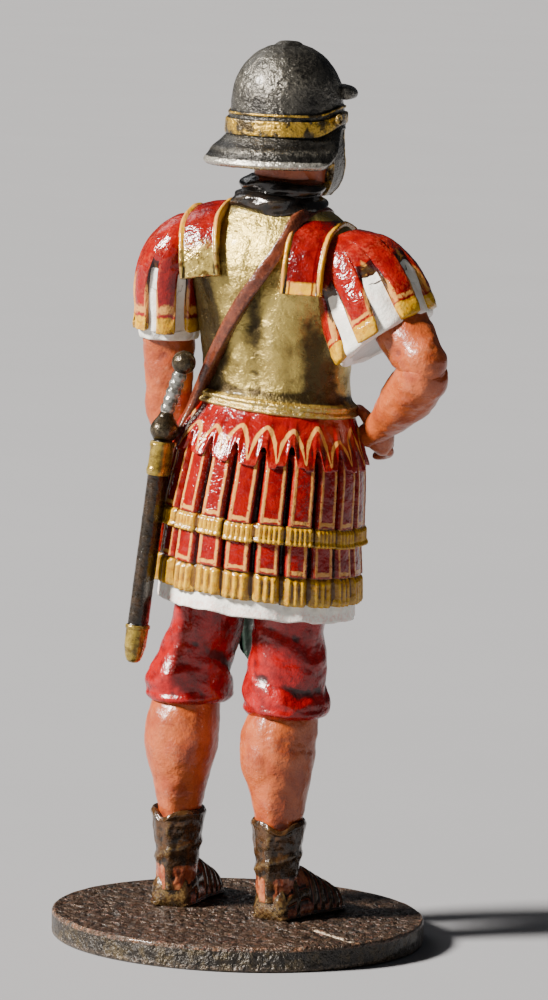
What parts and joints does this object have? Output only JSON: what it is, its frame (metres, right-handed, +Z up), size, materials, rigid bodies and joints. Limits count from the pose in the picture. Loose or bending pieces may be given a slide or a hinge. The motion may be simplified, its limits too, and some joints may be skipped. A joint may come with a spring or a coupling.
{
  "type": "painted metal figurine of a roman soldier",
  "caption": "Small painted cast-metal figure of a Roman officer standing on a round base, right hand on the hip and a sheathed sword at the left.",
  "frame": {"origin": "centre of the base's flat underside", "axes": "+Z up, the figure faces -Y and its left hand side is +X"},
  "size_m": [0.0282, 0.0264, 0.064],
  "materials": {
    "painted figure": "hand-painted gloss and metallic enamels with a dark wash",
    "scabbard paint": "brown-black enamel with brass paint on the fittings",
    "stone grey paint": "gritty dark grey-brown paint worn to bronze at the edge"
  },
  "bodies": {
    "root": {"figure": "painted figure", "sword": "scabbard paint", "base": "stone grey paint"}
  },
  "joints": []
}
